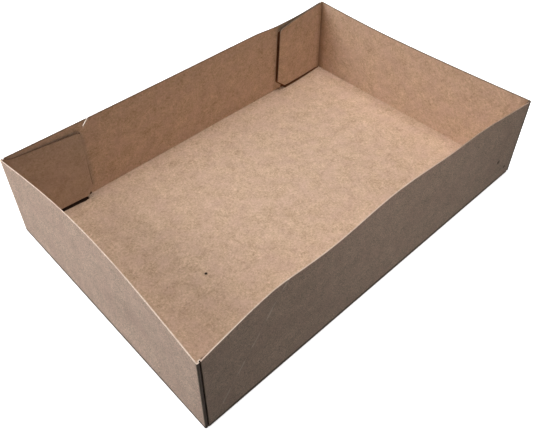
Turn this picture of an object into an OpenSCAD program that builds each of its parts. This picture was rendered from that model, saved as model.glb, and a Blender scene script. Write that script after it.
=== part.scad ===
// Pop-up tray folded from one die-cut board blank.
// The short walls carry four flaps, glued to the inner side of the long walls.
// A slit diagonal crease at each end of a long wall lets the empty tray fold flat.
// Once folded, the board springs: the rims lean and bow inwards between the corners.

/* [Tray] */
// Length over the short walls
tray_length = 254; // [200:1:330]
// Width over the long walls
tray_width = 169.6; // [130:0.1:240]
// Height of the rim
tray_height = 56.2; // [46:0.1:75]

/* [Board] */
// Thickness of the board
board_thickness = 0.6; // [0.4:0.05:0.9]
// Inner radius of the folds
fold_inner_radius = 0.25; // [0.15:0.05:1]
// How far the cut ends of the long walls stand back from the corners
end_setback = 2.2; // [2:0.1:4]

/* [Corner flaps] */
// Length of a flap from its fold to its free edge
flap_length = 46; // [32:1:52]
// Step from the rim down to a flap's top edge, at the fold
flap_top_step = 1.4; // [0.5:0.1:4]
// Further fall of the top edge towards the free edge
flap_top_fall = 3; // [0:0.1:6]
// Clear height between the bottom fold and a flap, at the upright fold
flap_floor_gap = 0.3; // [0.1:0.1:2]
// Further rise of the lower edge towards the free edge
flap_floor_rise = 0.9; // [0:0.1:3]
// Chamfer of the lower free corner
flap_chamfer = 5; // [2:0.5:8]
// Chamfer that eases the upper free corner
flap_ease = 1; // [0.4:0.1:3]
// How far the free edge of a flap curls off its long wall
flap_curl = 1.4; // [0.4:0.1:2]
// Thickness of the glue line between a flap and its long wall
glue_line = 0.12; // [0.08:0.01:0.3]
// Distance from a flap's fold to its glued patch
glue_start = 4; // [3:0.5:6]
// Width of the glued patch along the wall
glue_width = 12; // [6:0.5:14]

/* [Diagonal creases] */
// Distance from the corner to the foot of a crease
crease_foot = 0.8; // [0:0.1:3]
// Length of one slit in a crease
slit_length = 6.6; // [3:0.1:10]
// Distance from one slit to the next along a crease
slit_pitch = 14.8; // [12:0.1:20]
// Width of a slit
slit_width = 0.3; // [0.2:0.05:0.6]
// Distance from the foot to the first slit, front wall
front_slit_start = 14.8; // [8:0.1:24]
// Distance from the foot to the first slit, back wall
back_slit_start = 12.6; // [8:0.1:24]

/* [Lean and bow of the rims] */
// Lean of the front rim towards the inside
front_lean = 5.3; // [2:0.1:6]
// Height of the wave in the front rim
front_wave = 1.05; // [0:0.05:1.5]
// Length of the wave in the front rim
front_wave_length = 110; // [80:1:140]
// Place of the wave's crest, to the right of the middle
front_wave_place = 10; // [-30:1:30]
// Lean of the back rim towards the inside
back_lean = 0.95; // [0:0.05:4]
// Extra push of the back rim at the free edge of its right-hand flap
back_push = 1.75; // [0:0.05:3]
// Length over which that push fades along the rim
back_push_fade = 22; // [10:1:40]
// Bow of the left rim towards the inside
left_bow = 4.8; // [0:0.1:7]
// Bow of the right rim towards the inside
right_bow = 3.1; // [0:0.1:7]

/* [Dent in the left wall] */
// Depth of the dent, which the stiff corner lessens
dent_depth = 2; // [0:0.1:3]
// Distance from the middle of the wall to the dent, towards the front
dent_place = 42; // [0:1:60]
// Height of the dent's middle
dent_height = 20; // [18:1:30]
// Distance along the wall over which the dent fades out
dent_length = 46; // [20:1:60]
// Distance up and down the wall over which the dent fades out
dent_rise = 19; // [10:1:19]

/* [Hidden] */
$fn = 48;

// Deepest point of the short rims, as a share of the wall from its front end
bow_place_share = 0.58;
// Rows of facets up a wall, and columns along its parts
wall_rows = 6;
long_middle_columns = 20;
short_columns = 18;
// Facets round a corner fold and along a flap
fold_facets = 6;
curl_facets = 6;
// Slant of the diagonal creases
crease_angle = 45;
// How far cuts run past the board on each side
overrun = 10;

fold_radius = fold_inner_radius + board_thickness;
wall_rise = tray_height - fold_radius;
long_fold_length = tray_length - 2 * end_setback;
corner_inset = board_thickness + glue_line + fold_radius;
short_fold_length = tray_width - 2 * corner_inset;
flap_low = fold_radius + flap_floor_gap;
flap_high = tray_height - flap_top_step;
flap_reach = fold_radius + flap_length;
crease_length = tray_height / sin(crease_angle);
board_colour = "#b4906f";

// Inward lean of the front rim at a place along the wall
front_rim = function (along)
    front_lean + front_wave * cos(360 * (along - front_wave_place) / front_wave_length);

// Inward lean of the back rim; its left-hand end, seen from outside, is the pushed one
back_rim = function (along)
    back_lean + back_push * fade((along + tray_length / 2 - flap_reach) / back_push_fade);

// Soft dent of the left wall; its right-hand end, seen from outside, is the front one
left_dent = function (along, rise)
    dent_depth * fade(abs(along - dent_place) / dent_length) * fade(abs(rise - dent_height) / dent_rise);
no_dent = function (along, rise) 0;

// Smooth fall from 1 to 0 as the share goes from 0 to 1
function fade(share) = (1 + cos(180 * min(max(share, 0), 1))) / 2;

// Lean of a long wall's two corner triangles, which bend at the free edges of the flaps
function corner_slopes(rim) =
    [for (side = [-1, 1]) rim(side * (tray_length / 2 - flap_reach)) / (flap_reach - end_setback)];

front_slopes = corner_slopes(front_rim);
back_slopes = corner_slopes(back_rim);

// Inward place of a long wall's outer face: its middle turns about the bottom fold,
// and its two corner triangles turn about the upright corner folds
function long_inset(along, rise_share, rim, slopes) =
    let (reach = tray_length / 2,
         in_middle = min(max(along, flap_reach - reach), reach - flap_reach))
    min(rise_share * rim(in_middle),
        slopes[0] * (reach - end_setback + along),
        slopes[1] * (reach - end_setback - along));

// Skewed arch of a short wall, from 0 at its ends to 1 at its deepest point
function arch(share, place_share) =
    sin(90 * (share < place_share ? share / place_share : (1 - share) / (1 - place_share)));

// Places of the facet columns along a long wall, with the corner triangles' own columns
long_stations =
    let (end = long_fold_length / 2,
         bay = flap_reach - end_setback,
         middle = end - bay)
    concat([for (i = [0 : wall_rows - 1]) -end + bay * i / wall_rows],
           [for (i = [0 : long_middle_columns]) middle * (2 * i / long_middle_columns - 1)],
           [for (i = [1 : wall_rows]) middle + bay * i / wall_rows]);

short_stations =
    [for (i = [0 : short_columns]) short_fold_length * (i / short_columns - 1 / 2)];

// Points on an arc in plan, from one angle to another
function arc(centre, radius, from, to, facets) =
    [for (i = [0 : facets])
        let (angle = from + (to - from) * i / facets)
        centre + radius * [cos(angle), sin(angle)]];

function reversed(list) = [for (i = [len(list) - 1 : -1 : 0]) list[i]];

// Upright sheet of board along X with its outer face on y = 0, pushed inwards by inset
module bent_wall(stations, inset) {
    last = len(stations) - 1;
    layer = len(stations) * (wall_rows + 1);
    points = [
        for (depth = [0, board_thickness])
            for (along = stations)
                for (row = [0 : wall_rows])
                    [along,
                     depth + inset(along, row / wall_rows),
                     fold_radius + wall_rise * row / wall_rows]];
    at = function (side, column, row) side * layer + column * (wall_rows + 1) + row;
    // The facets slant with the crease of the nearer corner
    outer = [
        for (column = [0 : last - 1])
            for (row = [0 : wall_rows - 1])
                let (a = at(0, column, row),
                     b = at(0, column, row + 1),
                     c = at(0, column + 1, row + 1),
                     d = at(0, column + 1, row))
                each stations[column] + stations[column + 1] < 0
                    ? [[a, b, c], [a, c, d]]
                    : [[a, b, d], [b, c, d]]];
    inner = [for (face = outer) [for (i = [2, 1, 0]) face[i] + layer]];
    lower = [
        for (i = [0 : last - 1])
            [at(0, i, 0), at(0, i + 1, 0), at(1, i + 1, 0), at(1, i, 0)]];
    upper = [
        for (i = [0 : last - 1])
            [at(1, i, wall_rows), at(1, i + 1, wall_rows), at(0, i + 1, wall_rows), at(0, i, wall_rows)]];
    ends = [
        for (j = [0 : wall_rows - 1])
            each [[at(1, 0, j), at(1, 0, j + 1), at(0, 0, j + 1), at(0, 0, j)],
                  [at(0, last, j), at(0, last, j + 1), at(1, last, j + 1), at(1, last, j)]]];
    polyhedron(points, concat(outer, inner, lower, upper, ends));
}

// Quarter-round fold along X that turns the floor up into a wall
module bottom_fold(length) {
    translate([-length / 2, fold_radius, fold_radius])
        rotate([90, 0, 90])
            linear_extrude(length)
                intersection() {
                    difference() {
                        circle(fold_radius);
                        circle(fold_inner_radius);
                    }
                    translate([-fold_radius, -fold_radius])
                        square(fold_radius);
                }
}

// Slits along the diagonal crease at the left-hand end of a long wall
module crease_slits(start) {
    for (place = [start : slit_pitch : crease_length])
        translate([crease_foot - tray_length / 2, 0, 0])
            rotate([0, -crease_angle, 0])
                translate([place, -overrun, -slit_width / 2])
                    cube([slit_length, 2 * overrun, slit_width]);
}

// Long wall with its bottom fold and its two slit creases
module long_side(rim, slopes, slit_start) {
    bottom_fold(long_fold_length);
    difference() {
        bent_wall(long_stations, function (along, rise_share)
            long_inset(along, rise_share, rim, slopes));
        crease_slits(slit_start);
        mirror([1, 0, 0])
            crease_slits(slit_start);
    }
}

// Glue flap with its upright fold, at the right-hand end of a short wall.
// In plan the board turns round the fold, then curls slightly off the long wall.
module corner_flap(slope) {
    turn = atan(slope);
    fold_centre = [short_fold_length / 2, fold_radius];
    curl_radius = (flap_length ^ 2 + flap_curl ^ 2) / (2 * flap_curl);
    curl_centre = fold_centre + (fold_radius - curl_radius) * [cos(turn), sin(turn)];
    curl_end = turn + 2 * atan(flap_curl / flap_length);
    plan_side = function (depth) concat(
        arc(fold_centre, fold_radius - depth, -90, turn, fold_facets),
        [for (i = [1 : curl_facets])
            arc(curl_centre, curl_radius - depth, turn, curl_end, curl_facets)[i]]);
    intersection() {
        linear_extrude(tray_height)
            polygon(concat(plan_side(0), reversed(plan_side(board_thickness))));
        translate([fold_centre[0] - flap_length, 0, 0])
            flap_outline(2 * flap_length);
    }
    // Glued patch, above the diagonal crease and set half into both boards
    patch_low = glue_start + glue_width + flap_chamfer;
    patch_high = flap_high - flap_top_fall - flap_chamfer;
    glue_gap = glue_line + slope * (end_setback - fold_radius);
    translate([fold_centre[0], fold_centre[1], patch_low])
        rotate([0, 0, turn])
            translate([fold_radius - board_thickness / 2, glue_start, 0])
                cube([glue_gap + board_thickness, glue_width, patch_high - patch_low]);
}

// Outline of a flap seen from inside the tray, as a block across the wall
module flap_outline(thickness) {
    tip_low = flap_low + flap_floor_rise;
    tip_high = flap_high - flap_top_fall;
    rotate([90, 0, 90])
        linear_extrude(thickness)
            polygon([
                [-overrun, flap_low],
                [fold_radius, flap_low],
                [flap_reach - flap_chamfer, tip_low],
                [flap_reach, tip_low + flap_chamfer],
                [flap_reach, tip_high - flap_ease],
                [flap_reach - flap_ease, tip_high],
                [fold_radius, flap_high],
                [-overrun, flap_high]]);
}

// Short wall with its bottom fold and its two flaps
module short_side(bow, place_share, dent, slopes) {
    bottom_fold(short_fold_length);
    bent_wall(short_stations, function (along, rise_share)
        arch(along / short_fold_length + 1 / 2, place_share)
        * (bow * rise_share + dent(along, fold_radius + wall_rise * rise_share)));
    corner_flap(slopes[1]);
    mirror([1, 0, 0])
        corner_flap(slopes[0]);
}

// Flat floor between the bottom folds
module floor_panel() {
    reach = [tray_length / 2 - fold_radius, tray_width / 2 - fold_radius];
    translate([-reach[0], -reach[1], 0])
        cube([2 * reach[0], 2 * reach[1], board_thickness]);
}

module tray() {
    color(board_colour) {
        floor_panel();
        translate([0, -tray_width / 2, 0])
            long_side(front_rim, front_slopes, front_slit_start);
        translate([0, tray_width / 2, 0])
            rotate([0, 0, 180])
                long_side(back_rim, back_slopes, back_slit_start);
        translate([-tray_length / 2, 0, 0])
            rotate([0, 0, -90])
                short_side(left_bow, 1 - bow_place_share, left_dent, [back_slopes[1], front_slopes[0]]);
        translate([tray_length / 2, 0, 0])
            rotate([0, 0, 90])
                short_side(right_bow, bow_place_share, no_dent, [front_slopes[1], back_slopes[0]]);
    }
}

tray();
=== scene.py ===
# Kraft board tray, folded from one blank: its looks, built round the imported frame.
import math

import bmesh
import bpy
from mathutils import Matrix, Vector, noise


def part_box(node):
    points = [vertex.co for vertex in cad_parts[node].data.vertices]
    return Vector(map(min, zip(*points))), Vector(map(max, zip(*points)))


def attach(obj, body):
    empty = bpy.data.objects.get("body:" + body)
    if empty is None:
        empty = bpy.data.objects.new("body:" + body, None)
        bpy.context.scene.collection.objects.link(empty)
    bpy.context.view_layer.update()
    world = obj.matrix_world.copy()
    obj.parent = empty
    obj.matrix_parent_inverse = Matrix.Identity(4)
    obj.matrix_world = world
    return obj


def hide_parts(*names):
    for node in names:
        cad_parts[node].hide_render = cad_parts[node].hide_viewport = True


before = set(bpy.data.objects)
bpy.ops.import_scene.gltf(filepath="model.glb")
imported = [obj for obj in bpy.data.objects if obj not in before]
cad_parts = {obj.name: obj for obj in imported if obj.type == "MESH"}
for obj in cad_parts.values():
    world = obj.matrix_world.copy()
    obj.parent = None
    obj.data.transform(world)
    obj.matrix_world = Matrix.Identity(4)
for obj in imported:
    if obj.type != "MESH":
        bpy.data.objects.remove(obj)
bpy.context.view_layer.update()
print("frame loaded:", sorted(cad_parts))

mm = 0.001
trayLow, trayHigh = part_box("tray")
halfLength = (trayHigh.x - trayLow.x) / 2
halfWidth = (trayHigh.y - trayLow.y) / 2
trayHeight = trayHigh.z

tray = {
    "boardThickness": 0.6 * mm,
    "foldInside": 0.25 * mm,       # inner radius of every fold
    "endSetback": 2.2 * mm,        # the long walls stop this far short of the corners
    "glueLine": 0.12 * mm,         # gap between a flap and its long wall at the fold
    "cell": 2.0 * mm,              # size of the sheet's quads
    "foldSteps": 4,
    "edgeEase": 0.07 * mm,         # rounding of the cut edges
    "easeAngle": math.radians(60),
    "smoothAngle": math.radians(40),
    "frontLean": 5.3 * mm,         # how far the front rim leans in
    "frontWave": 1.05 * mm,
    "frontWaveLength": 110 * mm,
    "frontWavePlace": 10 * mm,
    "backLean": 0.95 * mm,
    "backPush": 1.75 * mm,         # extra lean at the back right flap's free edge
    "backPushFade": 22 * mm,
    "leftBow": 4.8 * mm,           # how far the short rims bow in
    "rightBow": 3.1 * mm,
    "bowPlace": 0.58,              # deepest point, as a share from the front
    "waver": 0.16 * mm,            # unevenness of the walls at the rim
    "waverLength": 60 * mm,
    "waverPlace": Vector((3.1, 1.7, 0.4)),
    "waverFull": 0.8 * mm,         # a long wall wavers in full where it leans in this far
    "flapWaverFull": 10 * mm,      # a flap wavers in full this far from its fold
    "flapReach": 46.85 * mm,       # from the corner to the flaps' free edges
    "flapLow": 1.15 * mm,          # a flap's lower and upper edge at its fold
    "flapHigh": 56.15 * mm,
    "flapTaper": 41 * mm,          # where the lower free corner is cut off
    "flapRound": 1 * mm,           # rounding of the upper free corner
    "tipSteps": 2,                 # columns of quads in a flap's tip
    "cornerFold": 0.4 * mm,        # middle radius of the upright folds
    "cornerLip": 0.75 * mm,        # the floor's corners are bent up this far
    "stripWidth": 0.4 * mm,        # flat strip beside the fold, flush with the wall
    "stripStep": 0.4 * mm,         # the flap steps in behind the wall over this length
    "stripSteps": 4,
    "edgeStep": 4 * mm,            # behind the wall's end, a flap's edges step over this length
    # A crease meets the rim at the flap's free edge, or at this distance from the corner
    "creaseTop": {"backRight": 29 * mm},
    # Softens the long walls' bends at the creases
    "creaseEase": {"front": 2.4 * mm, "back": 1.4 * mm},
    # How each flap has set, in mm: steps of its edges by the fold, fall and rise of the edges to the
    # tip, slant of the free edge, cut corner (along, up), curl off the wall at the top and bottom of the
    # free edge, how far the painted shade under the flap stays back from its top and lower edge (where
    # light gets in), how far that painted shade reaches round the cut corner and out at the top and
    # bottom of the free edge, and as shares: how dark that painted shade is, and how strong the painted
    # shade on the flap and the painted shadow on the wall beside its free edge are. fallPower bends the
    # upper edge.
    "flaps": {
        "backLeft": dict(length=46, topStep=1.75, topFall=3.9, fallPower=1, lowStep=1.1, lowRise=1,
                         slant=-0.8, cut=(4, 5.6), curl=(0.8, 2.2), lit=(1.2, -0.5), shadeReach=1.8,
                         shadeOut=(0.8, 1.8), shadeDarkness=1, flapShade=(0.35, 0.6)),
        "backRight": dict(length=47.4, topStep=0.05, topFall=2.4, fallPower=3, lowStep=0.8, lowRise=1.3,
                          slant=-0.3, cut=(7.7, 6.4), curl=(0.1, -2.5), lit=(2.5, -0.3), shadeReach=2,
                          shadeOut=(0, 0), shadeDarkness=0.2, flapShade=(0, 0)),
        "frontLeft": dict(length=46, topStep=1.25, topFall=3.6, fallPower=1, lowStep=0.6, lowRise=0.6,
                          slant=0, cut=(5, 5), curl=(0.9, 1.4), lit=(1, 0.4), shadeReach=0,
                          shadeOut=(0, 0), shadeDarkness=0.4, flapShade=(0, 0.3)),
        "frontRight": dict(length=46, topStep=1.25, topFall=3.6, fallPower=1, lowStep=0.6, lowRise=0.6,
                           slant=0, cut=(5, 5), curl=(0.9, 1.4), lit=(1, 0.4), shadeReach=0,
                           shadeOut=(0, 0), shadeDarkness=0.4, flapShade=(0, 0.3)),
    },
    "flapShadeReach": 5 * mm,           # width of the painted shadow beside a free edge
    "flapShadeTop": 0.5,                # share of that painted shadow which is left at the rim
    "slitFoot": 0.8 * mm,          # crease line: foot from the corner, then up at this angle
    "slitAngle": {"front": math.radians(45), "back": math.radians(46.5)},
    "slitLength": 6.6 * mm,
    "slitPitch": 14.8 * mm,
    "slitStart": {"front": 14.8 * mm, "back": 12.6 * mm},
    "slitRoom": 3,                 # the cuts of a slit run on for this many quads round it
    # How far the slits of each corner have opened, and the width and paleness of their rubbed lips, which
    # carry a painted highlight
    "slits": {
        "frontLeft": dict(open=0.12 * mm, lip=0.75 * mm, lipPaleness=1),
        "frontRight": dict(open=0.1 * mm, lip=0.5 * mm, lipPaleness=0),
        "backLeft": dict(open=0.6 * mm, lip=1 * mm, lipPaleness=1),
        "backRight": dict(open=0.04 * mm, lip=0.5 * mm, lipPaleness=0),
    },
    # Soft dent of the left wall
    "dentDepth": 2 * mm,
    "dentPlace": -42 * mm,
    "dentHeight": 20 * mm,
    "dentLength": 46 * mm,
    "dentRise": 19 * mm,
}

thickness = tray["boardThickness"]
foldRadius = tray["foldInside"] + thickness
midRadius = foldRadius - thickness / 2
floorHalfLength = halfLength - tray["endSetback"]
behindWall = thickness + tray["glueLine"]        # a flap lies this far inside its wall's face
flapStart = halfLength - thickness / 2 - tray["cornerFold"]
flapEnd = tray["flapReach"] - halfLength + flapStart
floorHalfWidth = halfWidth - behindWall - thickness / 2 - tray["cornerFold"]
tiny = 0.01 * mm


def deselectAll():
    if bpy.context.object and bpy.context.object.mode != "OBJECT":
        bpy.ops.object.mode_set(mode="OBJECT")
    bpy.ops.object.select_all(action="DESELECT")


def pickEdges(sheet, wanted):
    bpy.ops.mesh.select_all(action="DESELECT")
    mesh = bmesh.from_edit_mesh(sheet.data)
    for edge in mesh.edges:
        if edge.is_boundary and all(wanted(vert.co) for vert in edge.verts):
            edge.select_set(True)
    bmesh.update_edit_mesh(sheet.data)


def pickFaces(sheet, wanted):
    bpy.ops.mesh.select_all(action="DESELECT")
    mesh = bmesh.from_edit_mesh(sheet.data)
    for face in mesh.faces:
        if not face.hide and wanted(face.calc_center_median()):
            face.select_set(True)
    bmesh.update_edit_mesh(sheet.data)


def pullEdges(step):
    bpy.ops.mesh.extrude_region_move(TRANSFORM_OT_translate={"value": step})


def turnEdges(outward, onward, radius):
    # Pulls the picked edges round a quarter fold, from outward to onward
    for i in range(tray["foldSteps"]):
        a = math.pi / 2 * i / tray["foldSteps"]
        b = math.pi / 2 * (i + 1) / tray["foldSteps"]
        ahead = radius * (math.sin(b) - math.sin(a))
        across = radius * (math.cos(a) - math.cos(b))
        pullEdges(outward * ahead + onward * across)


def makeFloorPanel():
    deselectAll()
    bpy.ops.mesh.primitive_grid_add(
        x_subdivisions=round(2 * floorHalfLength / tray["cell"]),
        y_subdivisions=round(2 * floorHalfWidth / tray["cell"]),
        size=2)
    sheet = bpy.context.object
    sheet.name = "trayBoard"
    bpy.ops.object.mode_set(mode="EDIT")
    bpy.ops.mesh.select_mode(type="EDGE")
    bpy.ops.mesh.select_all(action="SELECT")
    bpy.ops.transform.resize(value=(halfLength - foldRadius, halfWidth - foldRadius, 1))
    bpy.ops.transform.translate(value=(0, 0, thickness / 2))
    # Cut lines where the walls end
    for side in (-1, 1):
        for place in (Vector((side * floorHalfLength, 0, 0)), Vector((0, side * floorHalfWidth, 0))):
            bpy.ops.mesh.select_all(action="SELECT")
            bpy.ops.mesh.bisect(plane_co=place, plane_no=place.normalized())
    return sheet


def wallHeights():
    # Rows of a wall; one row line lies at each end of the flaps
    low, high = tray["flapLow"], tray["flapHigh"]
    rows = round((high - low) / tray["cell"])
    return [low] + [low + (high - low) * (i + 1) / rows for i in range(rows)] + [trayHeight]


def raiseWall(sheet, onEdge, outward):
    up = Vector((0, 0, 1))
    pickEdges(sheet, onEdge)
    turnEdges(outward, up, midRadius)
    base = foldRadius
    for height in wallHeights():
        pullEdges(up * (height - base))
        base = height


def raiseWalls(sheet):
    for side in (-1, 1):
        raiseWall(sheet,
                  lambda p: p.y * side > halfWidth - foldRadius - tiny
                  and abs(p.x) < floorHalfLength + tiny and p.z < thickness,
                  Vector((0, side, 0)))
        raiseWall(sheet,
                  lambda p: p.x * side > halfLength - foldRadius - tiny
                  and abs(p.y) < floorHalfWidth + tiny and p.z < thickness,
                  Vector((side, 0, 0)))


def foldFlaps(sheet):
    strip, stepIn = tray["stripWidth"], tray["stripStep"]
    lip = halfWidth - foldRadius
    pickEdges(sheet, lambda p: abs(p.x) > floorHalfLength - tiny
              and abs(abs(p.y) - lip) < tiny and p.z < thickness)
    pullEdges(Vector((0, 0, tray["cornerLip"])))
    rest = tray["flapTaper"] - strip - stepIn
    columns = round(rest / tray["cell"])
    tip = flapEnd - tray["flapTaper"] - tray["flapRound"]
    pulls = [strip] + [stepIn / tray["stripSteps"]] * tray["stripSteps"] + [rest / columns] * columns
    pulls += [tip / tray["tipSteps"]] * tray["tipSteps"] + [tray["flapRound"]]
    wallPlane = halfLength - thickness / 2
    for sideX in (-1, 1):
        for sideY in (-1, 1):
            pickEdges(sheet, lambda p: abs(p.x - sideX * wallPlane) < tiny
                      and abs(p.y - sideY * floorHalfWidth) < tiny
                      and tray["flapLow"] - tiny < p.z < tray["flapHigh"] + tiny)
            turnEdges(Vector((0, sideY, 0)), Vector((-sideX, 0, 0)), tray["cornerFold"])
            for pull in pulls:
                pullEdges(Vector((-sideX * pull, 0, 0)))


def inLongWall(p):
    return abs(p.y) > halfWidth - foldRadius + tiny


def inShortWall(p):
    return abs(p.x) > halfLength - foldRadius + tiny and abs(p.y) < floorHalfWidth + tiny


def inFlap(p):
    return p.z > foldRadius and floorHalfWidth + tiny < abs(p.y) < halfWidth - foldRadius


def slitLines():
    # The dashes of the four diagonal creases, as they lie on the upright walls
    lines = []
    for wall, sideY in (("front", -1), ("back", 1)):
        rise, run = math.sin(tray["slitAngle"][wall]), math.cos(tray["slitAngle"][wall])
        for end, sideX in (("Left", -1), ("Right", 1)):
            along = Vector((-sideX * run, 0, rise))
            across = Vector((sideX * rise, 0, run))
            foot = Vector((sideX * (halfLength - tray["slitFoot"]),
                           sideY * (halfWidth - thickness / 2), 0))
            start = tray["slitStart"][wall]
            while start < trayHeight / rise:
                lines.append({**tray["slits"][wall + end], "side": sideY, "low": foot + along * start,
                              "along": along, "across": across})
                start += tray["slitPitch"]
    return lines


def nearSlit(p, slit, width, spare):
    way = (p - slit["low"]).dot(slit["along"])
    off = (p - slit["low"]).dot(slit["across"])
    onWall = p.y * slit["side"] > halfWidth - thickness
    return onWall and abs(off) < width and -spare < way < tray["slitLength"] + spare


def cutSlits(sheet):
    # Each slit is a strip between straight cuts, taken out of the upright wall
    reach = tray["slitRoom"] * tray["cell"]
    pickFaces(sheet, inLongWall)
    bpy.ops.mesh.hide(unselected=True)
    for slit in slitLines():
        half = slit["open"] / 2
        lip = half + slit["lip"]
        low, along, across = slit["low"], slit["along"], slit["across"]
        cuts = [(low + across * off, across) for off in (-lip, -half, half, lip)]
        cuts += [(low, along), (low + along * tray["slitLength"], along)]
        for place, normal in cuts:
            pickFaces(sheet, lambda p: nearSlit(p, slit, reach, reach))
            bpy.ops.mesh.bisect(plane_co=place, plane_no=normal)
        pickFaces(sheet, lambda p: nearSlit(p, slit, half, 0))
        bpy.ops.mesh.delete(type="FACE")
    bpy.ops.mesh.reveal(select=False)


# The slits' lips are rubbed and carry a painted highlight
def markSlitLips(sheet):
    rubAndHighlight = sheet.data.attributes.new("rubAndHighlight", "FLOAT", "POINT")
    for slit in slitLines():
        for vert in sheet.data.vertices:
            if slit["lipPaleness"] and nearSlit(vert.co, slit, slit["open"] / 2 + tiny, tiny):
                rubAndHighlight.data[vert.index].value = slit["lipPaleness"]


def unfold(p):
    # Where a point of the upright sheet lies on the flat blank
    if inLongWall(p):
        return p.x, math.copysign(halfWidth + p.z, p.y)
    if inShortWall(p):
        return math.copysign(halfLength + p.z, p.x), p.y
    if inFlap(p):
        along = halfWidth + flapStart - abs(p.x)
        return math.copysign(halfLength + p.z, p.x), math.copysign(along, p.y)
    return p.x, p.y


def layOutBlank(sheet):
    layer = sheet.data.uv_layers.new(name="blank")
    for loop in sheet.data.loops:
        layer.data[loop.index].uv = unfold(sheet.data.vertices[loop.vertex_index].co)


def fade(share):
    return (1 + math.cos(math.pi * min(max(share, 0), 1))) / 2


def frontRim(along):
    turn = 2 * math.pi * (along - tray["frontWavePlace"]) / tray["frontWaveLength"]
    return tray["frontLean"] + tray["frontWave"] * math.cos(turn)


def backRim(along):
    fromFlap = halfLength - tray["flapReach"] - along
    return tray["backLean"] + tray["backPush"] * fade(fromFlap / tray["backPushFade"])


def wallName(y):
    return "back" if y > 0 else "front"


def cornerName(y, x):
    return wallName(y) + ("Right" if x > 0 else "Left")


def creaseReach(y, x):
    # From a corner to where its crease meets the rim
    return tray["creaseTop"].get(cornerName(y, x), tray["flapReach"])


def cornerSlope(y, x):
    # How steeply a corner's triangle turns in about its upright fold
    rim = backRim if y > 0 else frontRim
    reach = creaseReach(y, x)
    return rim(math.copysign(halfLength - reach, x)) / (reach - tray["endSetback"])


def softMin(a, b, ease):
    # The lesser of two values, rounded where they are nearly equal
    near = max(0, ease - abs(a - b)) / ease
    return min(a, b) - near * near * ease / 4


def longInset(p, share):
    # The middle leans about the bottom fold, the corner triangles turn about the upright folds
    rim = backRim if p.y > 0 else frontRim
    first = creaseReach(p.y, -1) - halfLength
    last = halfLength - creaseReach(p.y, 1)
    end = halfLength - tray["endSetback"]
    lean = share * rim(min(max(p.x, first), last))
    turned = min(cornerSlope(p.y, -1) * (end + p.x), cornerSlope(p.y, 1) * (end - p.x))
    return max(0, softMin(lean, turned, tray["creaseEase"][wallName(p.y)]))


def arch(share, place):
    return math.sin(math.pi / 2 * (share / place if share < place else (1 - share) / (1 - place)))


def waver(p):
    return tray["waver"] * noise.noise(p / tray["waverLength"] + tray["waverPlace"])


def leftDent(along, height):
    across = fade(abs(along - tray["dentPlace"]) / tray["dentLength"])
    return tray["dentDepth"] * across * fade(abs(height - tray["dentHeight"]) / tray["dentRise"])


def flapLook(p):
    return tray["flaps"][cornerName(p.y, p.x)]


def flapEdges(look, d):
    # Heights of a flap's lower and upper edge at the distance d from its fold
    run = max(0, d / (look["length"] * mm))
    stepped = 1 - fade((d - flapStart + floorHalfLength) / tray["edgeStep"])
    rise = look["lowStep"] * stepped + look["lowRise"] * run
    fall = look["topStep"] * stepped + look["topFall"] * run ** look["fallPower"]
    return tray["flapLow"] + rise * mm, tray["flapHigh"] - fall * mm


def flapInset(look, p, d, share):
    # How far a flap stands in from the corner's plane: it follows its wall and curls off it
    curlTop, curlLow = look["curl"]
    curl = (curlLow + (curlTop - curlLow) * share) * mm * (d / (look["length"] * mm)) ** 2
    return cornerSlope(p.y, p.x) * d + curl


def shapeFlap(p):
    look = flapLook(p)
    taper = tray["flapTaper"]
    share = (p.z - tray["flapLow"]) / (tray["flapHigh"] - tray["flapLow"])
    d = flapStart - abs(p.x)
    # The strip by the fold is flush with the wall, and the flap steps in behind the wall's end
    p.y += math.copysign(behindWall * fade((d - tray["stripWidth"]) / tray["stripStep"]), p.y)
    if d < 0:
        return
    cutAlong, cutUp = (value * mm for value in look["cut"])
    length = look["length"] * mm + look["slant"] * mm * (1 - share)
    tipShare = max(0, (d - taper) / (flapEnd - taper))
    d = min(d, taper) / taper * (length - cutAlong) + tipShare * cutAlong
    low, high = flapEdges(look, d)
    low += cutUp * tipShare
    high -= max(0, d - length + tray["flapRound"])
    p.z = low + share * (high - low)
    p.x = math.copysign(flapStart - d, p.x)
    p.y -= math.copysign(flapInset(look, p, d, share), p.y)
    p.y += waver(p) * min(1, d / tray["flapWaverFull"])


def freeEdge(look, z, shadeReach=0):
    # Distance from a flap's fold to its free edge at a height, with the cut corner
    cutAlong, cutUp = look["cut"]
    share = (z - tray["flapLow"]) / (tray["flapHigh"] - tray["flapLow"])
    overTip = (z - tray["flapLow"]) / mm - look["lowStep"] - look["lowRise"]
    cutOff = max(0, cutAlong * min(max(1 - overTip / cutUp, 0), 1) - shadeReach)
    return (look["length"] + look["slant"] * (1 - share) - cutOff) * mm


def shadeDepth(p, look):
    # How deep a point of the walls and the floor lies inside the painted shade under a flap
    d = flapStart - abs(p.x)
    litTop, litLow = (value * mm for value in look["lit"])
    if inLongWall(p):
        outTop, outLow = (value * mm for value in look["shadeOut"])
        out = outLow + (outTop - outLow) * p.z / trayHeight
        return min(freeEdge(look, p.z, look["shadeReach"]) + out - d, flapEdges(look, d)[1] - litTop - p.z)
    if p.z < thickness:
        edge = halfWidth - behindWall - thickness - flapInset(look, p, max(d, 0), 0) + litLow
        return min(freeEdge(look, 0) - d, abs(p.y) - edge)
    return -tray["cell"]


def flapShadeShare(p, look):
    # Painted shade lies on a flap, and a painted shadow on the wall beside its free edge, below its upper
    # edge
    onFlap, onWall = look["flapShade"]
    d = flapStart - abs(p.x)
    if inFlap(p):
        return onFlap
    if inLongWall(p) and p.z < flapEdges(look, d)[1] - look["lit"][0] * mm - tray["cell"]:
        upward = 1 - (1 - tray["flapShadeTop"]) * p.z / trayHeight
        return onWall * upward * fade((d - freeEdge(look, p.z)) / tray["flapShadeReach"])
    return 0


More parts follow.
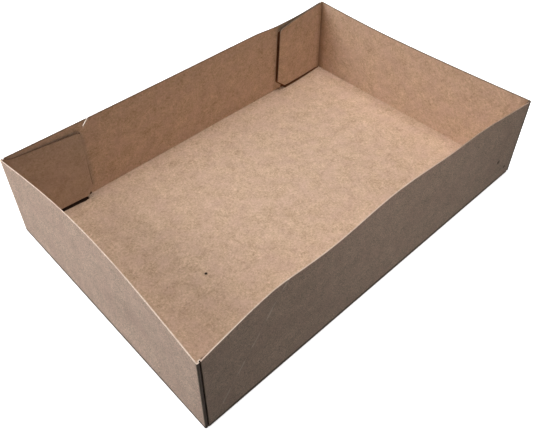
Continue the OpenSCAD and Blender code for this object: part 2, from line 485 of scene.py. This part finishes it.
def markBoard(sheet):
    # Marks the painted shade under the flaps, the flaps' parts behind a wall, how dark that shade is, and
    # the painted shade on and beside the flaps
    names = ("underFlap", "behindWall", "shadeDarkness", "flapShade")
    for name in names:
        sheet.data.attributes.new(name, "FLOAT", "POINT")
    under, behind, shadeDarkness, flapShade = (sheet.data.attributes[name].data for name in names)
    hiddenFrom = flapStart - tray["stripWidth"] - tray["stripStep"]
    for vert in sheet.data.vertices:
        p = vert.co
        look = flapLook(p)
        onFlap = inFlap(p)
        under[vert.index].value = -tray["cell"] if onFlap else shadeDepth(p, look)
        behind[vert.index].value = hiddenFrom - abs(p.x) if onFlap else -tray["cell"]
        shadeDarkness[vert.index].value = look["shadeDarkness"]
        flapShade[vert.index].value = flapShadeShare(p, look)


def bendBoard(sheet):
    rise = trayHeight - foldRadius
    for vert in sheet.data.vertices:
        p = vert.co
        share = max(0, (p.z - foldRadius) / rise)
        if inLongWall(p):
            inset = longInset(p, share)
            p.y += waver(p) * min(1, inset / tray["waverFull"]) - math.copysign(inset, p.y)
        elif inShortWall(p):
            side = math.copysign(1, p.x)
            along = min(max(p.y / floorHalfWidth / 2 + 0.5, 0), 1)
            inset = tray["rightBow"] * share
            if side < 0:
                inset = tray["leftBow"] * share + leftDent(p.y, p.z)
            p.x -= side * inset * arch(along, tray["bowPlace"])
            p.x += waver(p) * share * math.sin(math.pi * along)
            if abs(p.y) > floorHalfWidth - tiny:
                p.y += math.copysign(behindWall, p.y)
        elif inFlap(p):
            shapeFlap(p)
    sheet.data.update()


def thickenBoard(sheet):
    deselectAll()
    sheet.select_set(True)
    bpy.context.view_layer.objects.active = sheet
    solid = sheet.modifiers.new("board", "SOLIDIFY")
    solid.thickness = thickness
    solid.offset = 0
    solid.use_even_offset = True
    solid.use_quality_normals = True
    solid.material_offset = 1
    solid.material_offset_rim = 2
    bpy.ops.object.modifier_apply(modifier=solid.name)
    ease = sheet.modifiers.new("edges", "BEVEL")
    ease.width = tray["edgeEase"]
    ease.segments = 1
    ease.limit_method = "ANGLE"
    ease.angle_limit = tray["easeAngle"]
    bpy.ops.object.modifier_apply(modifier=ease.name)
    bpy.ops.object.shade_smooth_by_angle(angle=tray["smoothAngle"])


def makeTray():
    sheet = makeFloorPanel()
    raiseWalls(sheet)
    foldFlaps(sheet)
    bpy.ops.mesh.select_mode(type="FACE")
    cutSlits(sheet)
    bpy.ops.object.mode_set(mode="OBJECT")
    layOutBlank(sheet)
    markSlitLips(sheet)
    markBoard(sheet)
    bendBoard(sheet)
    return sheet


def newGroup(name, inputs, outputs):
    group = bpy.data.node_groups.new(name, "ShaderNodeTree")
    for label, kind, value in inputs:
        socket = group.interface.new_socket(label, in_out="INPUT", socket_type=kind)
        if value is not None:
            socket.default_value = value
    for label, kind in outputs:
        group.interface.new_socket(label, in_out="OUTPUT", socket_type=kind)
    return group, group.nodes.new("NodeGroupInput"), group.nodes.new("NodeGroupOutput")


def addNode(tree, kind, sources=None, **settings):
    # A source is another node's socket, or a plain number or colour
    node = tree.nodes.new(kind)
    for name, value in settings.items():
        setattr(node, name, value)
    for socket, source in (sources or {}).items():
        if isinstance(source, bpy.types.NodeSocket):
            tree.links.new(source, node.inputs[socket])
        else:
            node.inputs[socket].default_value = source
    return node


def addMath(tree, operation, *sources):
    return addNode(tree, "ShaderNodeMath", dict(enumerate(sources)), operation=operation).outputs[0]


def addRange(tree, source, start, end, first=0, last=1):
    # Goes from first to last while the source goes from start to end
    ends = {"From Min": start, "From Max": end, "To Min": first, "To Max": last}
    return addNode(tree, "ShaderNodeMapRange", {"Value": source, **ends}).outputs["Result"]


def addNoise(tree, place, look):
    return addNode(tree, "ShaderNodeTexNoise", {"Vector": place, **look}).outputs["Fac"]


def addMark(tree, name):
    return addNode(tree, "ShaderNodeAttribute", attribute_name=name).outputs["Fac"]


def splitPlace(tree, place):
    return addNode(tree, "ShaderNodeSeparateXYZ", {"Vector": place}).outputs


def mixColour(tree, share, first, second):
    sources = {"Factor": share, "A": first, "B": second}
    return addNode(tree, "ShaderNodeMix", sources, data_type="RGBA").outputs["Result"]


boardTexture = {
    # Two layers of strands that cross: turn and stretch
    "strandLayers": ((0.35, (1, 0.6, 1)), (-0.6, (0.6, 1, 1))),
    "strands": {"Scale": 1100, "Detail": 3, "Roughness": 0.65, "Distortion": 0.9},
    "clouds": {"Scale": 130, "Detail": 5, "Roughness": 0.75, "Distortion": 0.5},
    "tints": {"Scale": 75, "Detail": 2, "Roughness": 0.6},
    "fleckCells": {"Scale": 330, "Randomness": 1},
    "fleckEdge": (0.05, 0.12),             # a fleck fades out between these shares of a cell
    "fleckLess": 0.8,                      # share of the cells that have no fleck
}


def makeFibreGroup():
    # Strands, soft clouds, changes of tint and dark flecks of kraft board, read off the flat blank
    names = ("Fibre", "Cloud", "Tint", "Fleck")
    group, start, end = newGroup(
        "boardFibre", [("Place", "NodeSocketVector", None), ("Fineness", "NodeSocketFloat", 1.0)],
        [(name, "NodeSocketFloat") for name in names])
    place = start.outputs["Place"]
    finer = addNode(group, "ShaderNodeVectorMath", {0: place, "Scale": start.outputs["Fineness"]},
                    operation="SCALE")
    strands = []
    for turn, stretch in boardTexture["strandLayers"]:
        mapped = addNode(group, "ShaderNodeMapping", {"Vector": finer.outputs["Vector"],
                                                      "Rotation": (0, 0, turn), "Scale": stretch})
        strands.append(addNoise(group, mapped.outputs["Vector"], boardTexture["strands"]))
    fibre = addMath(group, "MULTIPLY", addMath(group, "ADD", *strands), 1 / len(strands))
    cloud = addNoise(group, place, boardTexture["clouds"])
    tint = addNoise(group, place, boardTexture["tints"])
    cells = addNode(group, "ShaderNodeTexVoronoi", {"Vector": place, **boardTexture["fleckCells"]})
    near = addRange(group, cells.outputs["Distance"], *boardTexture["fleckEdge"], 1, 0)
    shades = addNode(group, "ShaderNodeSeparateColor", {"Color": cells.outputs["Color"]})
    chosen = addMath(group, "GREATER_THAN", shades.outputs["Red"], boardTexture["fleckLess"])
    fleck = addMath(group, "MULTIPLY", near, chosen)
    for name, source in zip(names, (fibre, cloud, tint, fleck)):
        group.links.new(source, end.inputs[name])
    return group


kraft = {
    # Colours of the dark and light fibres, strength of flecks, fibres and clouds, fineness of the fibres
    "inside": dict(dark=(0.38, 0.250, 0.158), light=(0.80, 0.584, 0.423), fleck=0.3,
                   fibre=0.68, cloud=0.36, fineness=1.0),
    "outside": dict(dark=(0.36, 0.256, 0.196), light=(0.96, 0.720, 0.572), fleck=0.35,
                    fibre=1.0, cloud=0.24, fineness=1.7),
    "cutEdge": dict(dark=(0.26, 0.175, 0.115), light=(0.42, 0.305, 0.215), fleck=0.15,
                    fibre=0.55, cloud=0.45, fineness=1.1),
    "paleEdge": dict(dark=(0.62, 0.48, 0.38), light=(0.86, 0.71, 0.59), fleck=0.1,
                     fibre=0.55, cloud=0.45, fineness=1.1),
    "mottleMiddle": 0.5,                   # the mottle goes from dark to light about this value
    "mottleReach": 0.14,
    "tint": (0.62, 0.42, 0.345, 1),        # pinkish patches
    "tintRange": (0.4, 0.7),
    "tintShare": 0.4,
    "fleckColour": (0.22, 0.13, 0.08, 1),
    "roughness": 0.86,
    "specular": 0.2,
    "bumpHeight": 0.06 * mm,
    "bumpStrength": 0.6,
    "paleMarkColour": (0.90, 0.76, 0.64, 1),   # rubbed lips of the slits, with a painted highlight on their lit cut faces
    "shadeBrown": (0.30, 0.13, 0.055, 1),   # painted shade in the gaps of the flaps, brown where least dark
    # painted shade in the gaps of the flaps, at its darkest
    "shadeDark": (0.05, 0.026, 0.016, 1),
    # soft edge of the painted shade in the gaps and on the flaps' cut edges
    "shadeEdge": 0.12 * mm,
    "flapEdge": (0.13, 0.07, 0.04, 1),     # painted shade on the cut edges of the flaps
    "flapEdgeLeast": 0.4,
    # painted shade on the flaps and painted shadow beside their free edges
    "flapShadeColour": (0.34, 0.27, 0.215, 1),
    # Lines along the folds: half width, share of the line's colour
    "floorScore": (0.5 * mm, 0.5),
    "cornerShade": (6 * mm, 0.7),          # painted shade, soft, inside the upright folds
    "outerScore": (0.8 * mm, 0.6),         # outside the upright folds
    "footLine": (2.1 * mm, 0.9),           # darker foot of the walls, outside
    "rimLine": (0.6 * mm, 0.5),            # darker upper edge of the walls, inside
    "creaseLine": (0.6 * mm, 0.28),        # rubbed line along the front left crease, outside
    "lineCore": 0.5,                       # share of the foot and rim lines that is dark throughout
    "scoreAndShadeColour": (0.30, 0.185, 0.11, 1),     # pressed fold lines, and the painted shade inside the upright folds
    "lineColour": (0.10, 0.075, 0.058, 1),     # dark lines
    "paleRim": 0.4 * mm,                   # the left and front rims are pale down to this depth
    "frontRimShare": 0.75,
    "frontRimFade": (20 * mm, 70 * mm),    # the front rim's paleness ends between these places
    "rimShade": (0.12, 0.088, 0.066, 1),   # the back and right rims are darkened
    "rimShadeShare": 0.9,
    # Dark specks: dirt on the floor, and two specks near the front wall's right end; place on the flat
    # blank, radius, share of the colour
    "specks": {
        "inside": [((-69.9 * mm, -15.3 * mm), 0.95 * mm, 1.0),
                   ((-91.5 * mm, -8.3 * mm), 0.5 * mm, 0.35)],
        "outside": [((109.6 * mm, -102.4 * mm), 1.6 * mm, 0.6),
                    ((118.6 * mm, -93.8 * mm), 1.3 * mm, 0.6)],
    },
    "speckEdge": (0.6, 1.2),               # a speck fades out between these shares of its radius
    "speckColour": (0.02, 0.014, 0.01, 1),
}


def boardColour(tree, look, fibre):
    middle, reach = kraft["mottleMiddle"], kraft["mottleReach"]
    level = middle - look["fibre"] / 2 - look["cloud"] / 2
    mottle = addMath(tree, "MULTIPLY_ADD", fibre.outputs["Fibre"], look["fibre"], level)
    mottle = addMath(tree, "MULTIPLY_ADD", fibre.outputs["Cloud"], look["cloud"], mottle)
    shade = addRange(tree, mottle, middle - reach, middle + reach)
    colour = mixColour(tree, shade, (*look["dark"], 1), (*look["light"], 1))
    pink = addRange(tree, fibre.outputs["Tint"], *kraft["tintRange"], 0, kraft["tintShare"])
    colour = mixColour(tree, pink, colour, kraft["tint"])
    fleck = addMath(tree, "MULTIPLY", fibre.outputs["Fleck"], look["fleck"])
    return mixColour(tree, fleck, colour, kraft["fleckColour"])


def addSpecks(tree, place, colour, side):
    core, rim = kraft["speckEdge"]
    for spot, radius, share in kraft["specks"][side]:
        far = addNode(tree, "ShaderNodeVectorMath", {0: place, 1: (*spot, 0)}, operation="DISTANCE")
        mask = addRange(tree, far.outputs["Value"], radius * core, radius * rim, share, 0)
        colour = mixColour(tree, mask, colour, kraft["speckColour"])
    return colour


# Rubbed lips of the slits, with a painted highlight
def addRubAndHighlight(tree, colour):
    return mixColour(tree, addMark(tree, "rubAndHighlight"), colour, kraft["paleMarkColour"])


# Painted shade under a flap or on a flap behind a wall's end
def addGapShade(tree, mark, colour, shadeTone):
    mask = addRange(tree, addMark(tree, mark), 0, kraft["shadeEdge"])
    return mixColour(tree, mask, colour, shadeTone)


# Painted shade in the gaps, from brown to dark with its darkness
def gapShadeColour(tree):
    return mixColour(tree, addMark(tree, "shadeDarkness"), kraft["shadeBrown"], kraft["shadeDark"])


# Painted shade on the flaps and painted shadow beside their free edges
def addFlapShade(tree, colour):
    return mixColour(tree, addMark(tree, "flapShade"), colour, kraft["flapShadeColour"])


# Painted shade on the flaps' cut edges that lie behind a wall, stronger where the gap shade is darker
def addFlapEdges(tree, colour):
    least = kraft["flapEdgeLeast"]
    share = addMath(tree, "MULTIPLY_ADD", addMark(tree, "shadeDarkness"), 1 - least, least)
    mask = addRange(tree, addMark(tree, "behindWall"), 0, kraft["shadeEdge"], 0, share)
    return mixColour(tree, mask, colour, kraft["flapEdge"])


def addLine(tree, parts, axis, line, look, colour, paint, above=None, core=0):
    # A soft line along one direction of the flat blank, above a limit of the other if one is given
    width, share = look
    off = addMath(tree, "SUBTRACT", addMath(tree, "ABSOLUTE", parts[axis]), line)
    mask = addRange(tree, addMath(tree, "ABSOLUTE", off), width * core, width, share, 0)
    if above:
        other = addMath(tree, "ABSOLUTE", parts["X" if axis == "Y" else "Y"])
        mask = addMath(tree, "MULTIPLY", mask, addMath(tree, "GREATER_THAN", other, above))
    return mixColour(tree, mask, colour, paint)


def addScores(tree, place, colour, inside):
    # Pressed lines round the floor, painted shade inside the upright folds, and darker lines at the
    # walls' rims and feet and outside the upright folds
    parts = splitPlace(tree, place)
    upright = (floorHalfWidth + halfWidth) / 2
    aboveFold = halfLength + foldRadius
    scoreAndShade, darkLine, core = kraft["scoreAndShadeColour"], kraft["lineColour"], kraft["lineCore"]
    for axis, half in (("X", halfLength), ("Y", halfWidth)):
        if inside:
            rim = half + trayHeight
            colour = addLine(tree, parts, axis, half, kraft["floorScore"], colour, scoreAndShade)
            colour = addLine(tree, parts, axis, rim, kraft["rimLine"], colour, darkLine, core=core)
        else:
            foot = half + foldRadius
            colour = addLine(tree, parts, axis, foot, kraft["footLine"], colour, darkLine, core=core)
    if inside:
        # painted shade inside the upright folds
        return addLine(tree, parts, "Y", upright, kraft["cornerShade"], colour, scoreAndShade, aboveFold)
    return addLine(tree, parts, "Y", upright, kraft["outerScore"], colour, darkLine, aboveFold)


def addCrease(tree, place, colour):
    # The line between the slits of the front left crease: the flat blank's two places have one sum there
    width, share = kraft["creaseLine"]
    parts = splitPlace(tree, place)
    both = addMath(tree, "ADD", parts["X"], parts["Y"])
    off = addMath(tree, "ADD", both, halfLength + halfWidth - tray["slitFoot"])
    mask = addRange(tree, addMath(tree, "ABSOLUTE", off), 0, width, share, 0)
    onWall = addMath(tree, "LESS_THAN", parts["Y"], -halfWidth)
    return mixColour(tree, addMath(tree, "MULTIPLY", mask, onWall), colour, kraft["paleMarkColour"])


def rimMask(tree, place, side, axis):
    # The rim of one wall lies along one side of the flat blank
    if axis == "X":
        half, other = halfLength, "Y"
        first, last = -halfWidth - tray["endSetback"], floorHalfWidth    # goes on round its front fold
    else:
        half, other = halfWidth, "X"
        first, last = -halfLength, halfLength
    parts = splitPlace(tree, place)
    out = addMath(tree, "MULTIPLY", parts[axis], side)
    rim = addMath(tree, "GREATER_THAN", out, half + trayHeight - kraft["paleRim"])
    offFlap = addMath(tree, "COMPARE", parts[other], (first + last) / 2, (last - first) / 2)
    return addMath(tree, "MULTIPLY", rim, offFlap)


def addRims(tree, place, fibre, colour):
    pale = boardColour(tree, kraft["paleEdge"], fibre)
    along = splitPlace(tree, place)["X"]
    frontShare = addRange(tree, along, *kraft["frontRimFade"], kraft["frontRimShare"], 0)
    colour = mixColour(tree, rimMask(tree, place, -1, "X"), colour, pale)
    front = addMath(tree, "MULTIPLY", rimMask(tree, place, -1, "Y"), frontShare)
    colour = mixColour(tree, front, colour, pale)
    for axis in ("X", "Y"):
        mask = addMath(tree, "MULTIPLY", rimMask(tree, place, 1, axis), kraft["rimShadeShare"])
        colour = mixColour(tree, mask, colour, kraft["rimShade"])
    return colour


def kraftMaterial(name, fibreGroup):
    material = bpy.data.materials.new("kraft" + name[0].upper() + name[1:])
    material.use_nodes = True
    tree = material.node_tree
    shader = tree.nodes["Principled BSDF"]
    shader.inputs["Roughness"].default_value = kraft["roughness"]
    shader.inputs["Specular IOR Level"].default_value = kraft["specular"]
    place = addNode(tree, "ShaderNodeUVMap", uv_map="blank").outputs["UV"]
    fibre = addNode(tree, "ShaderNodeGroup", {"Place": place, "Fineness": kraft[name]["fineness"]},
                    node_tree=fibreGroup)
    colour = boardColour(tree, kraft[name], fibre)
    if name == "inside":
        colour = addScores(tree, place, addFlapShade(tree, colour), True)
        colour = addSpecks(tree, place, colour, name)
        # painted shade under the flaps
        colour = addGapShade(tree, "underFlap", addRubAndHighlight(tree, colour), gapShadeColour(tree))
    elif name == "outside":
        colour = addScores(tree, place, addCrease(tree, place, addRubAndHighlight(tree, colour)), False)
        # painted shade on the flaps' outer faces behind the walls' ends
        colour = addGapShade(tree, "behindWall", addSpecks(tree, place, colour, name), kraft["shadeDark"])
    else:
        colour = addRims(tree, place, fibre, addRubAndHighlight(tree, addFlapEdges(tree, colour)))
    tree.links.new(colour, shader.inputs["Base Color"])
    bump = addNode(tree, "ShaderNodeBump", {"Strength": kraft["bumpStrength"],
                                            "Distance": kraft["bumpHeight"],
                                            "Height": fibre.outputs["Fibre"]})
    tree.links.new(bump.outputs["Normal"], shader.inputs["Normal"])
    return material


def dressTray(sheet):
    fibreGroup = makeFibreGroup()
    for name in ("inside", "outside", "cutEdge"):
        sheet.data.materials.append(kraftMaterial(name, fibreGroup))


trayPiece = makeTray()
print("tray folded:", len(trayPiece.data.polygons), "faces of sheet")
dressTray(trayPiece)
thickenBoard(trayPiece)
print("board thickened:", len(trayPiece.data.polygons), "faces")
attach(trayPiece, "root")
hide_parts("tray")

stage = {
    "floorSize": 8.0,
    "floorPlace": -0.1 * mm,
    "floorColour": (0.93, 0.93, 0.93, 1),
    "floorRoughness": 0.9,
    "floorGlow": 0.8,
    "glowColour": (1, 1, 1, 1),
    "worldUp": 0.12,
    "worldDown": 0.0,
    "worldFade": (-0.15, 0.25),            # the world goes from down to up between these slopes
    "backdrop": (0.9, 0.9, 0.9, 1),        # behind the floor, in low views
    # Softboxes aimed at the tray: place, power, colour
    "lights": {
        "keyNear": ((-0.35, 0.30, 0.20), 0.38, (1, 1, 1)),
        "keyLight": ((-0.60, 0.30, 0.45), 2.11, (1, 1, 1)),
        "sideLight": ((-0.95, 0.20, 0.70), 2.45, (1, 1, 1)),
        "topLight": ((0.00, 0.00, 1.20), 5.85, (1, 1, 1)),
        "topNear": ((0.10, 0.00, 0.50), 0.60, (1, 1, 1)),
        "frontLow": ((0.05, -0.30, 0.15), 0.12, (1, 0.95, 0.88)),
        "frontHigh": ((-0.10, -0.30, 0.30), 0.035, (1, 0.95, 0.88)),
        "rightFill": ((0.90, 0.10, 0.16), 1.20, (1, 1, 1)),
        "backFill": ((0.10, 0.90, 0.16), 1.20, (1, 1, 1)),
    },
    "lightSpread": 0.4,                    # size of a softbox, as a share of its distance
}


def makeStage():
    deselectAll()
    bpy.ops.mesh.primitive_plane_add(size=stage["floorSize"], location=(0, 0, stage["floorPlace"]))
    floor = bpy.context.object
    floor.name = "studioFloor"
    material = bpy.data.materials.new("palePaper")
    material.use_nodes = True
    shader = material.node_tree.nodes["Principled BSDF"]
    shader.inputs["Base Color"].default_value = stage["floorColour"]
    shader.inputs["Roughness"].default_value = stage["floorRoughness"]
    shader.inputs["Emission Color"].default_value = stage["glowColour"]
    shader.inputs["Emission Strength"].default_value = stage["floorGlow"]
    floor.data.materials.append(material)
    floor.visible_diffuse = False


def makeWorld():
    world = bpy.data.worlds.new("softStudio")
    bpy.context.scene.world = world
    world.use_nodes = True
    tree = world.node_tree
    soft = tree.nodes["Background"]
    way = addNode(tree, "ShaderNodeTexCoord").outputs["Generated"]
    slope = splitPlace(tree, way)["Z"]
    level = addRange(tree, slope, *stage["worldFade"], stage["worldDown"], stage["worldUp"])
    tree.links.new(level, soft.inputs["Strength"])
    # The camera sees a pale backdrop, and the tray is lit by the soft world alone
    backdrop = addNode(tree, "ShaderNodeBackground", {"Color": stage["backdrop"]})
    ray = addNode(tree, "ShaderNodeLightPath")
    seen = addNode(tree, "ShaderNodeMixShader", {0: ray.outputs["Is Camera Ray"],
                                                 1: soft.outputs[0], 2: backdrop.outputs[0]})
    tree.links.new(seen.outputs[0], tree.nodes["World Output"].inputs["Surface"])


def makeLights():
    for name, (place, power, colour) in stage["lights"].items():
        deselectAll()
        bpy.ops.object.light_add(type="AREA", location=place)
        light = bpy.context.object
        light.name = name
        light.visible_camera = False
        light.data.shape = "SQUARE"
        light.data.size = stage["lightSpread"] * Vector(place).length
        light.data.energy = power
        light.data.color = colour
        light.rotation_euler = (-Vector(place)).to_track_quat("-Z", "Y").to_euler()


camera = {
    "place": (-199.1 * mm, -202.7 * mm, 285.6 * mm),
    "aim": (6.35 * mm, 22.4 * mm, 0),
    "roll": math.radians(-0.79),
    "lens": 43.455,
    "shift": (0.0122, -0.0730),
    "clipStart": 10 * mm,
}


def makeCamera():
    deselectAll()
    bpy.ops.object.camera_add(location=camera["place"])
    eye = bpy.context.object
    eye.name = "photoCamera"
    look = (Vector(camera["aim"]) - Vector(camera["place"])).to_track_quat("-Z", "Y")
    eye.rotation_euler = (look.to_matrix() @ Matrix.Rotation(camera["roll"], 3, "Z")).to_euler()
    eye.data.lens = camera["lens"]
    eye.data.shift_x, eye.data.shift_y = camera["shift"]
    eye.data.clip_start = camera["clipStart"]
    bpy.context.scene.camera = eye


makeStage()
makeWorld()
makeLights()
makeCamera()
bpy.context.scene.view_settings.view_transform = "Standard"
print("stage, lights and camera set")
